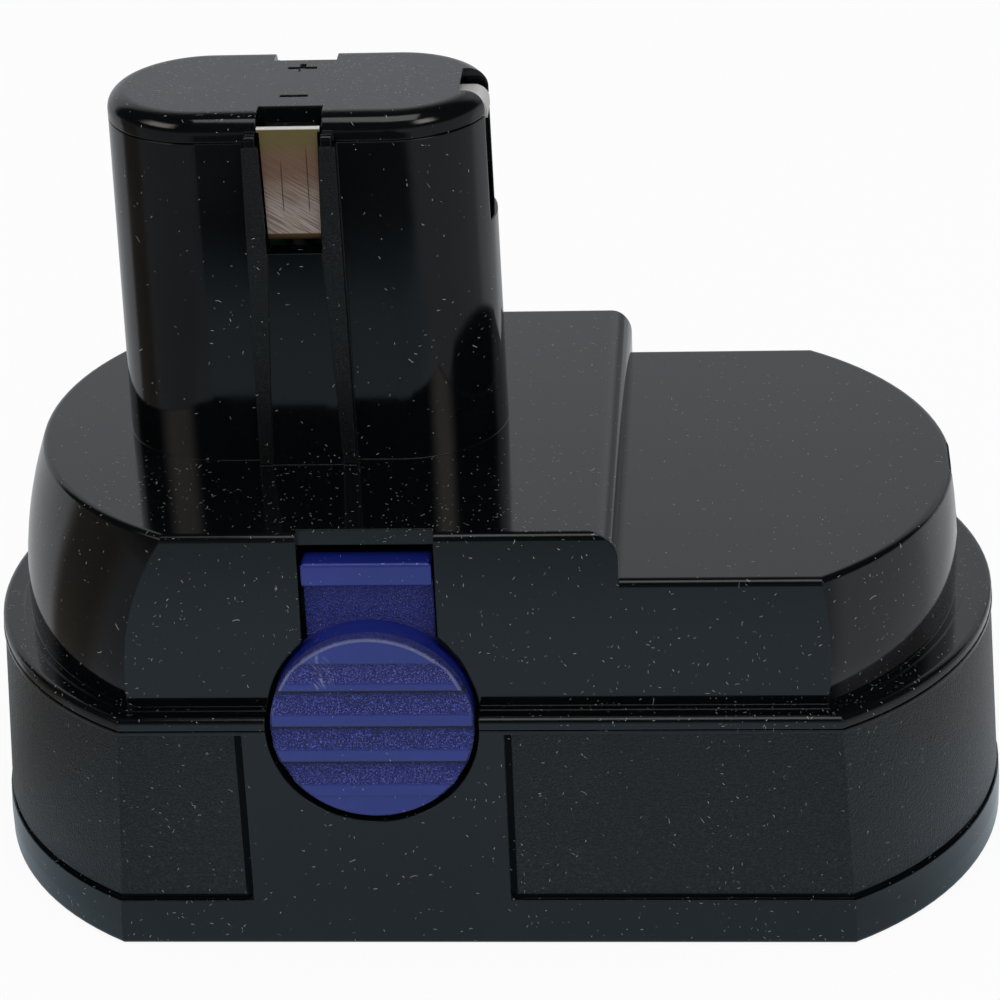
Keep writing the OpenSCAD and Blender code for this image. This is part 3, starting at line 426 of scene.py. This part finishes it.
# %% Grain group
grain_group, gi, go = new_group("mould_grain", [("Scale", 2600.0)], ["Height"])
fine = noise(grain_group, gi.outputs["Place"], gi.outputs["Scale"], 2.0)
link(grain_group, ramp(grain_group, fine, 0.3, 0.7), go.inputs["Height"])

# %% Smear group
smear_group, gi, go = new_group("handling_smears", [("Scale", 55.0)], ["Mask"])
wipe = noise(smear_group, gi.outputs["Place"], gi.outputs["Scale"], 4.0, 0.6)
link(smear_group, ramp(smear_group, wipe, 0.4, 0.75), go.inputs["Mask"])
print("groups:", [g.name for g in bpy.data.node_groups])


# %% [markdown]
# ## Moulded plastic
# Housing, latches, wires and sheets are all moulded or drawn plastic, which differ in colour, gloss and
# wear. Separate materials would repeat the same nodes, so one function builds them all. It takes the base
# colour, a smooth and a grained roughness, and masks that say where grain, dust and wear are, and where
# light and shade are painted. On grain it can paint shade into the hollows and glints onto the tops. Edges of
# a moulding are never razor sharp, so a bevel normal rounds them by a fraction of a millimetre.

# %% Finish helpers
finishes = {}


def new_finish(name):
    """An empty material with one Principled shader, kept under the slot name of the record."""
    m = bpy.data.materials.new("worn_" + name)
    m.use_nodes = True
    m.node_tree.nodes.clear()
    shader = add(m.node_tree, "ShaderNodeBsdfPrincipled")
    end = add(m.node_tree, "ShaderNodeOutputMaterial")
    link(m.node_tree, shader.outputs[0], end.inputs["Surface"])
    finishes[name] = m
    return m.node_tree, shader


def use_group(tree, group, place, **values):
    """Places a group in a tree; returns its first output."""
    n = add(tree, "ShaderNodeGroup", node_tree=group)
    link(tree, place, n.inputs["Place"])
    for key, v in values.items():
        n.inputs[key].default_value = v
    return n.outputs[0]


def surface(tree, shader, height, edge, depth, strength=1.0, samples=6):
    """Rounds sharp edges by a bevel normal and lays a bump of the given height on it."""
    round_edge = add(tree, "ShaderNodeBevel", samples=samples)
    round_edge.inputs["Radius"].default_value = edge
    bump = add(tree, "ShaderNodeBump")
    bump.inputs["Strength"].default_value = strength
    bump.inputs["Distance"].default_value = depth
    link(tree, height, bump.inputs["Height"])
    link(tree, round_edge.outputs[0], bump.inputs["Normal"])
    link(tree, bump.outputs[0], shader.inputs["Normal"])


# %% Plastic builder
DUST, HAZE = (0.45, 0.45, 0.43), (0.03, 0.03, 0.032)
# Pale blue-grey for a rubbed patch and for a painted highlight; near black for painted shade.
SCUFF_AND_HIGHLIGHT, PAINTED_SHADE = (0.25, 0.27, 0.4), (0.002, 0.002, 0.004)


def plastic(name, colour, smooth, grained=None, grain_mask=None, grain_scale=2600.0, grain_depth=0.00004,
            grain_glints_and_shade=0.0, dust=0.0, dust_mask=None, gap_mask=None, haze_mask=None, scuff_and_highlight_mask=None,
            painted_shade_mask=None, level=0.5, edge=0.00025):
    """A moulded plastic. Each mask(tree, x, y, z) returns a socket that is 1 where its effect is at work."""
    t, shader = new_finish(name)
    where_to = add(t, "ShaderNodeTexCoord")
    place = where_to.outputs["Object"]
    x, y, z = split(t, place)
    smears = use_group(t, smear_group, place)
    grain = use_group(t, grain_group, place, Scale=grain_scale)
    rough = math_node(t, "MULTIPLY_ADD", smears, 0.05, smooth)
    height = times(t, grain, 0.02)
    paint = blend_colour(t, smears, colour, tuple(c * 1.25 + 0.0005 for c in colour))
    if grain_mask is not None:
        where = grain_mask(t, x, y, z)
        rough = blend(t, where, rough, grained)
        height = times(t, grain, math_node(t, "MULTIPLY_ADD", where, 0.98, 0.02))
        # Painted shade in the grain's hollows and painted glints on its tops.
        if grain_glints_and_shade > 0:
            pit_shade = times(t, ramp(t, grain, 0.5, 0.1), where, grain_glints_and_shade)
            paint = blend_colour(t, pit_shade, paint, tuple(c * 0.3 for c in colour))
            peak_glints = times(t, ramp(t, grain, 0.6, 0.9), where, grain_glints_and_shade)
            paint = blend_colour(t, peak_glints, paint, tuple(c * 2.2 + 0.05 for c in colour))
    if haze_mask is not None:
        paint = blend_colour(t, haze_mask(t, x, y, z), paint, HAZE)
    # A pale rubbed patch, and a painted highlight along the upper edge of the pads.
    if scuff_and_highlight_mask is not None:
        paint = blend_colour(t, scuff_and_highlight_mask(t, x, y, z), paint, SCUFF_AND_HIGHLIGHT)
    # Painted shade: dark and rough where the mask says so.
    if painted_shade_mask is not None:
        painted_shade = painted_shade_mask(t, x, y, z)
        paint = blend_colour(t, painted_shade, paint, PAINTED_SHADE)
        rough = blend(t, painted_shade, rough, 0.9)
    if dust > 0:
        mask = use_group(t, dust_group, place)
        if dust_mask is None:
            mask.node.inputs["Amount"].default_value = dust
        else:
            link(t, times(t, dust_mask(t, x, y, z), dust), mask.node.inputs["Amount"])
        link(t, where_to.outputs["Normal"], mask.node.inputs["Facing"])
        rough = blend(t, mask, rough, 0.8)
        paint = blend_colour(t, mask, paint, DUST)
    if gap_mask is None:
        shader.inputs["Specular IOR Level"].default_value = level
    else:
        shut = math_node(t, "SUBTRACT", 1.0, gap_mask(t, x, y, z))
        link(t, times(t, shut, level), shader.inputs["Specular IOR Level"])
    link(t, rough, shader.inputs["Roughness"])
    link(t, paint, shader.inputs["Base Color"])
    surface(t, shader, height, edge, grain_depth)


# %% [markdown]
# ## Where the mould is grained
# The lower half has two grained end panels with a smooth middle between them; on the stem, the guide ribs
# have a grained strip on each side of a smooth track; on the latch the finger grooves are grained and the
# ridges between them are smooth. Masks could be painted, but each of these borders is a plain line or
# height, so it is worked out from the place on the piece and stays sharp at any size.

# %% Grain masks
STEM_X, LATCH_X = -22.25 * MM, -13.35 * MM
PANEL_TOP, RAISED_TOP, CAP_TOP = 31.4 * MM, 57.7 * MM, 104.45 * MM
PAD_FACE = 36.5 * MM  # all of a pad's face lies farther out than this


def above(t, value, edge, soft=0.00005):
    """1 where value is over edge, with a soft border."""
    return ramp(t, value, edge - soft, edge + soft)


def below(t, value, edge, soft=0.00005):
    """1 where value is under edge, with a soft border."""
    return ramp(t, value, edge + soft, edge - soft)


def panel_mask(t, x, y, z):
    """1 on the end panels of the lower half."""
    off = math_node(t, "ABSOLUTE", math_node(t, "SUBTRACT", x, LATCH_X))
    return times(t, above(t, off, 17.5 * MM), above(t, z, 7.6 * MM), below(t, z, PANEL_TOP))


def groove_gap(t, x, y, z):
    """1 in the narrow groove round the end panels, which is too deep to mirror anything."""
    off = math_node(t, "ABSOLUTE", math_node(t, "SUBTRACT", x, LATCH_X))
    upright = times(t, above(t, off, 16.65 * MM), below(t, off, 17.45 * MM), above(t, z, 6.75 * MM))
    level = times(t, above(t, off, 16.65 * MM), above(t, z, 6.75 * MM), below(t, z, 7.35 * MM))
    return times(t, math_node(t, "MAXIMUM", upright, level), below(t, z, PANEL_TOP), 0.9)


def top_grain(t, x, y, z):
    """1 on the side strips of the guide ribs and on the flat of the cap."""
    off = math_node(t, "ABSOLUTE", math_node(t, "SUBTRACT", x, STEM_X))
    out = math_node(t, "ABSOLUTE", y)
    track = math_node(t, "MULTIPLY_ADD", z, -0.04, 6.95 * MM)
    strip = times(t, above(t, math_node(t, "SUBTRACT", off, track), 0.0), above(t, out, 13.45 * MM))
    strip = times(t, strip, above(t, z, RAISED_TOP + 0.3 * MM), below(t, z, 101.0 * MM))
    return math_node(t, "MAXIMUM", strip, times(t, above(t, z, CAP_TOP - 0.25 * MM, 0.0002), 0.55))


def latch_grain(t, x, y, z):
    """1 in the finger grooves of the thumb pads and on the necks above them."""
    out = math_node(t, "ABSOLUTE", y)
    deep = math_node(t, "SUBTRACT", 38.4 * MM, out)
    grooves = times(t, above(t, deep, 0.0), above(t, out, PAD_FACE), above(t, z, 22.5 * MM))
    neck = times(t, below(t, out, 33.2 * MM), above(t, z, 40.0 * MM), below(t, z, 50.4 * MM))
    return math_node(t, "MAXIMUM", grooves, neck)


# %% [markdown]
# ## Where dust, wear and painted light lie
# Dust settles on level places and in corners, and a thumb rubs a pale patch near the top of the front pad. A
# painted highlight runs along the upper edge of both pads, and painted shade lines sit in the upper corner
# of each finger groove. All this could be found from the form, by how deep each place lies, but then a change
# of one edge would move it. Heights and distances on the piece keep each in place.


# %% Dust and haze masks
LEDGE, LOW_TOP = 33.7 * MM, 51.2 * MM


def top_dust(t, x, y, z):
    """How much dust lies on the upper half: most on the ledge and the cap, least on the stem."""
    amount = blend(t, above(t, z, RAISED_TOP + 0.8 * MM, 0.001), 0.65, 0.3)
    amount = blend(t, above(t, z, CAP_TOP - 0.65 * MM, 0.0005), amount, 1.3)
    low_top = times(t, above(t, x, 18.5 * MM), above(t, z, LOW_TOP - 0.4 * MM), below(t, z, 60.0 * MM))
    amount = blend(t, low_top, amount, 0.35)
    raised = times(t, above(t, z, RAISED_TOP - 0.3 * MM), below(t, z, RAISED_TOP + 0.8 * MM))
    raised = times(t, raised, below(t, x, 8.0 * MM, 0.004))
    amount = blend(t, times(t, raised, below(t, y, -12.0 * MM, 0.004)), amount, 1.0)
    return blend(t, below(t, z, LEDGE + 0.9 * MM, 0.0003), amount, 1.2)


def end_wall_haze(t, x, y, z):
    """Fine wear on the right end wall, where the pack is gripped."""
    wall = times(t, above(t, z, LEDGE + 0.5 * MM), below(t, z, LOW_TOP - 0.6 * MM))
    wall = times(t, wall, above(t, x, 45.0 * MM, 0.0015))
    return times(t, wall, 0.45)


# %% Painted shade, painted highlight and wear masks
GROOVE_TOPS = (37.7, 32.6, 27.5)  # upper edges of the finger grooves in mm
PAD_Z = 32.2 * MM                 # height of the pads' middle


def groove_shade_lines(t, x, y, z):
    """Painted shade: dark lines in the upper corner of the finger grooves, under each ridge."""
    out = math_node(t, "ABSOLUTE", y)
    lines = 0.0
    for top in GROOVE_TOPS:
        line = times(t, below(t, z, (top + 0.05) * MM, 0.0001), above(t, z, (top - 0.7) * MM, 0.0005))
        lines = math_node(t, "MAXIMUM", line, lines)
    return times(t, lines, above(t, out, PAD_FACE), 0.75)


def sheet_border_shade(t, x, y, z):
    """Painted shade: the fibre sheet is dark more than 14 mm to the front or back of its middle."""
    return above(t, math_node(t, "ABSOLUTE", y), 14.0 * MM, 0.001)


SCUFF_X, SCUFF_Z = -19.5 * MM, 40.4 * MM           # middle of the rubbed patch
SCUFF_WIDE, SCUFF_TALL = 1.0 / 430.0, 1.0 / 300.0  # its reach in metres


def thumb_scuff_and_rim_highlight(t, x, y, z):
    """A pale rubbed patch near the top of the front thumb pad, and a painted highlight along the upper edge
    of both pads.
    """
    dx = math_node(t, "MULTIPLY_ADD", x, 1 / SCUFF_WIDE, -SCUFF_X / SCUFF_WIDE)
    dz = math_node(t, "MULTIPLY_ADD", z, 1 / SCUFF_TALL, -SCUFF_Z / SCUFF_TALL)
    away = distance(t, dx, dz)
    place = add(t, "ShaderNodeCombineXYZ")
    link(t, math_node(t, "MULTIPLY_ADD", z, 0.5, x), place.inputs["X"])
    link(t, times(t, z, 0.3), place.inputs["Z"])
    wipe = noise(t, place.outputs[0], 1400.0, 5.0, 2.0)
    patch = times(t, below(t, away, 0.6, 0.5), ramp(t, wipe, 0.5, 0.72), below(t, y, -37.0 * MM), 0.75)
    off, up = math_node(t, "SUBTRACT", x, LATCH_X), math_node(t, "SUBTRACT", z, PAD_Z)
    radius = distance(t, off, up)
    # Painted highlight along the upper edge of both pads.
    rim_highlight = times(t, above(t, radius, 12.5 * MM, 0.0001), below(t, radius, 12.8 * MM, 0.0001))
    rim_highlight = times(t, rim_highlight, above(t, up, 3.0 * MM, 0.003), above(t, math_node(t, "ABSOLUTE", y), 37.9 * MM), 0.4)
    return math_node(t, "MAXIMUM", patch, rim_highlight)


# %% [markdown]
# ## The plastics
# The housing is a black moulding, polished above and grained below. Its colour is set very low, because the
# gloss alone makes it look grey. The latches are dyed blue through and through. The pieces inside show only
# through the contact windows and the gaps round the latches, so they have plainer finishes.

# %% Plastics outside
plastic("housing_gloss", (0.0012, 0.0016, 0.002), 0.07, 0.32, top_grain, 5200.0, 0.00002, grain_glints_and_shade=0.12,
        dust=1.0, dust_mask=top_dust, haze_mask=end_wall_haze)
plastic("housing_matte", (0.0016, 0.0022, 0.003), 0.14, 0.36, panel_mask, 3600.0, 0.00008, grain_glints_and_shade=0.14,
        dust=0.5, gap_mask=groove_gap)
plastic("latch_blue", (0.008, 0.015, 0.15), 0.24, 0.42, latch_grain, 5600.0, 0.00012, grain_glints_and_shade=0.8,
        dust=0.3, scuff_and_highlight_mask=thumb_scuff_and_rim_highlight, painted_shade_mask=groove_shade_lines, level=0.75, edge=0.0004)
print("plastics outside:", sorted(finishes))

# %% Plastics inside
plastic("carrier_black", (0.004, 0.004, 0.0045), 0.3, dust=1.0)
plastic("cell_sleeve", (0.02, 0.07, 0.04), 0.25)
plastic("fibre_sheet", (0.5, 0.38, 0.2), 0.75, painted_shade_mask=sheet_border_shade, edge=0.0001)
plastic("wire_black", (0.02, 0.02, 0.02), 0.45, edge=0.0001)
plastic("wire_red", (0.4, 0.02, 0.02), 0.45, edge=0.0001)
plastic("wire_yellow", (0.7, 0.6, 0.1), 0.45, edge=0.0001)
plastic("bead_epoxy", (0.03, 0.04, 0.03), 0.2, edge=0.0001)
print("plastics:", sorted(finishes))

# %% [markdown]
# ## Metal
# The contacts are nickel plated strip, wiped by the tool each time the pack slides in, so fine marks run
# across them at a slant. Scratches could be drawn one by one, but stretched noise gives hundreds at once,
# and only the two deep ones are drawn as lines. The same builder serves weld strips, springs and screws
# with plainer values.

# %% Metal builder
def metal(name, colour, rough, marks=0.3, along=(0.0, 0.0, 1.0), fine=9000.0, shine=1.0, tint=None):
    """A bright metal with fine lines along a direction; tint(tree, x, y, z, colour, lines) recolours it."""
    t, shader = new_finish(name)
    shader.inputs["Metallic"].default_value = shine
    place = add(t, "ShaderNodeTexCoord").outputs["Object"]
    lie = Vector(along).normalized()
    across = lie.cross(Vector((0, 1, 0))).normalized()
    drawn = add(t, "ShaderNodeCombineXYZ")
    for axis, way, stretch in (("X", lie, 0.05), ("Y", across, 1.0), ("Z", lie.cross(across), 1.0)):
        part = add(t, "ShaderNodeVectorMath", operation="DOT_PRODUCT")
        link(t, place, part.inputs[0])
        part.inputs[1].default_value = way * stretch
        link(t, part.outputs["Value"], drawn.inputs[axis])
    streak = ramp(t, noise(t, drawn.outputs[0], fine, 3.0), 0.35, 0.68)
    smears = use_group(t, smear_group, place, Scale=160.0)
    colour_out = blend_colour(t, times(t, smears, 0.6), colour, tuple(c * 0.62 for c in colour))
    if tint is not None:
        colour_out = tint(t, *split(t, place), colour_out, streak)
    link(t, colour_out, shader.inputs["Base Color"])
    link(t, math_node(t, "MULTIPLY_ADD", streak, marks * 0.4, rough), shader.inputs["Roughness"])
    surface(t, shader, streak, 0.1 * MM, 0.02 * MM, marks, samples=4)


# %% Contact strip
def strip_painted_reflection(t, x, y, z, colour, streak):
    """Painted reflection: olive on top, brown in the middle, pale below, with brushed streaks and two
    scratches; pale silver at the right end, a painted dark band at the bottom and a painted highlight on the
    cut top edge.
    """
    # Painted reflection: the colour runs from olive at the top through brown to pale below.
    colour = blend_colour(t, ramp(t, z, 92.0 * MM, 98.0 * MM), colour, (0.19, 0.11, 0.075))
    colour = blend_colour(t, ramp(t, z, 98.5 * MM, 102.0 * MM), colour, (0.15, 0.12, 0.045))
    dark = times(t, streak, ramp(t, z, 101.5 * MM, 94.0 * MM, 0.15, 0.7))
    colour = blend_colour(t, dark, colour, (0.1, 0.06, 0.04))
    for at, low, high in ((-1.15, 92.3, 98.6), (2.1, 92.2, 100.4)):
        off = math_node(t, "ABSOLUTE", math_node(t, "SUBTRACT", x, STEM_X + at * MM))
        line = times(t, below(t, off, 0.07 * MM, 0.04 * MM), above(t, z, low * MM, 0.6 * MM))
        line = times(t, line, below(t, z, high * MM, 1.2 * MM))
        colour = blend_colour(t, times(t, line, 0.8), colour, (0.03, 0.016, 0.01))
    colour = blend_colour(t, above(t, x, STEM_X + 15.0 * MM), colour, (0.72, 0.71, 0.68))
    # Painted shade: a dark band along the bottom of the strip.
    colour = blend_colour(t, below(t, z, 89.2 * MM, 0.1 * MM), colour, (0.07, 0.035, 0.012))
    # Painted highlight on the cut top edge.
    return blend_colour(t, above(t, z, 103.0 * MM, 0.08 * MM), colour, (0.9, 0.88, 0.84))


# %% Metals
metal("contact_nickel", (0.42, 0.35, 0.31), 0.4, 0.6, along=(0.84, 0.0, -0.54), fine=5000.0, shine=0.55,
      tint=strip_painted_reflection)
metal("strip_nickel", (0.62, 0.62, 0.6), 0.25)
metal("cutout_steel", (0.5, 0.5, 0.52), 0.3)
metal("screw_steel", (0.45, 0.46, 0.48), 0.32)
metal("spring_steel", (0.6, 0.61, 0.63), 0.25)
print("finishes:", len(finishes))

# %% [markdown]
# ## Dress the solids
# The record names one finish for each node. The solids keep their meshes, and only the material in their
# slots changes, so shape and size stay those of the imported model.

# %% Materials onto the nodes
for part in frame["record"]["subparts"]:
    body = nodes[part["node"]]
    for s in body.material_slots:
        s.material = finishes[part["material_slot"]]

# %% [markdown]
# ## Latch springs
# Each latch is pushed out by a compression spring of round wire. A coil follows a rule, so a node tree
# draws it: a spiral curve, a small circle swept along it, and smooth shading. The solids hold a faceted
# stand-in, and the swept coil takes its place. The tree is evaluated once and kept as a plain mesh.

# %% Coil tree
TURNS, WIRE = 6.0, 0.35 * MM


def coil_tree(material):
    """A node tree that sweeps round wire along a spiral."""
    g = bpy.data.node_groups.new("latch_coil", "GeometryNodeTree")
    for name, value in (("Turns", TURNS), ("Coil Radius", 2.8 * MM), ("Wire Radius", WIRE),
                        ("Length", 9.0 * MM)):
        g.interface.new_socket(name, in_out="INPUT", socket_type="NodeSocketFloat").default_value = value
    g.interface.new_socket("Geometry", in_out="OUTPUT", socket_type="NodeSocketGeometry")
    gi, go = add(g, "NodeGroupInput"), add(g, "NodeGroupOutput")
    spiral = add(g, "GeometryNodeCurveSpiral")
    spiral.inputs["Resolution"].default_value = 40
    link(g, gi.outputs["Turns"], spiral.inputs["Rotations"])
    link(g, gi.outputs["Coil Radius"], spiral.inputs["Start Radius"])
    link(g, gi.outputs["Coil Radius"], spiral.inputs["End Radius"])
    link(g, gi.outputs["Length"], spiral.inputs["Height"])
    ring = add(g, "GeometryNodeCurvePrimitiveCircle")
    ring.inputs["Resolution"].default_value = 14
    link(g, gi.outputs["Wire Radius"], ring.inputs["Radius"])
    sweep = add(g, "GeometryNodeCurveToMesh")
    sweep.inputs["Fill Caps"].default_value = True
    link(g, spiral.outputs[0], sweep.inputs["Curve"])
    link(g, ring.outputs[0], sweep.inputs["Profile Curve"])
    smooth = add(g, "GeometryNodeSetShadeSmooth")
    link(g, sweep.outputs[0], smooth.inputs["Geometry"])
    real = add(g, "GeometryNodeRealizeInstances")
    link(g, smooth.outputs[0], real.inputs[0])
    dress = add(g, "GeometryNodeSetMaterial")
    dress.inputs["Material"].default_value = material
    link(g, real.outputs[0], dress.inputs["Geometry"])
    link(g, dress.outputs[0], go.inputs[0])
    return g


# %% Coils in place of the stand-ins
def make_coil(name, node):
    """Sweeps a coil inside the box of its solid and returns it as a plain mesh object."""
    low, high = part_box(node)
    maker = bpy.data.objects.new(name + "_maker", bpy.data.meshes.new(name + "_maker"))
    bpy.context.scene.collection.objects.link(maker)
    mod = maker.modifiers.new("coil", "NODES")
    mod.node_group = spring_tree
    sizes = {"Turns": TURNS, "Coil Radius": (high.x - low.x) / 2 - WIRE, "Wire Radius": WIRE,
             "Length": high.y - low.y - 2 * WIRE}
    for item in spring_tree.interface.items_tree:
        if item.in_out == "INPUT":
            mod[item.identifier] = sizes[item.name]
    done = bpy.data.meshes.new_from_object(maker.evaluated_get(bpy.context.evaluated_depsgraph_get()))
    bpy.data.objects.remove(maker)
    middle = (low + high) / 2
    start = Vector((middle.x, high.y - WIRE, middle.z))
    done.transform(Matrix.Translation(start) @ Matrix.Rotation(math.radians(90), 4, "X"))
    coil = bpy.data.objects.new(name, done)
    bpy.context.scene.collection.objects.link(coil)
    return coil


spring_tree = coil_tree(finishes["spring_steel"])
for side, seat in (("front", -27.0 * MM), ("rear", 27.0 * MM)):
    coil = make_coil(side + "_latch_coil", side + "_latch_spring")
    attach(coil, "housing")
    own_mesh(coil)
    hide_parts(side + "_latch_spring")
    print(coil.name, "faces:", len(coil.data.polygons))

# %% [markdown]
# ## Finish
# The colour view is set to Standard.

# %% Colour view
bpy.context.scene.view_settings.view_transform = "Standard"
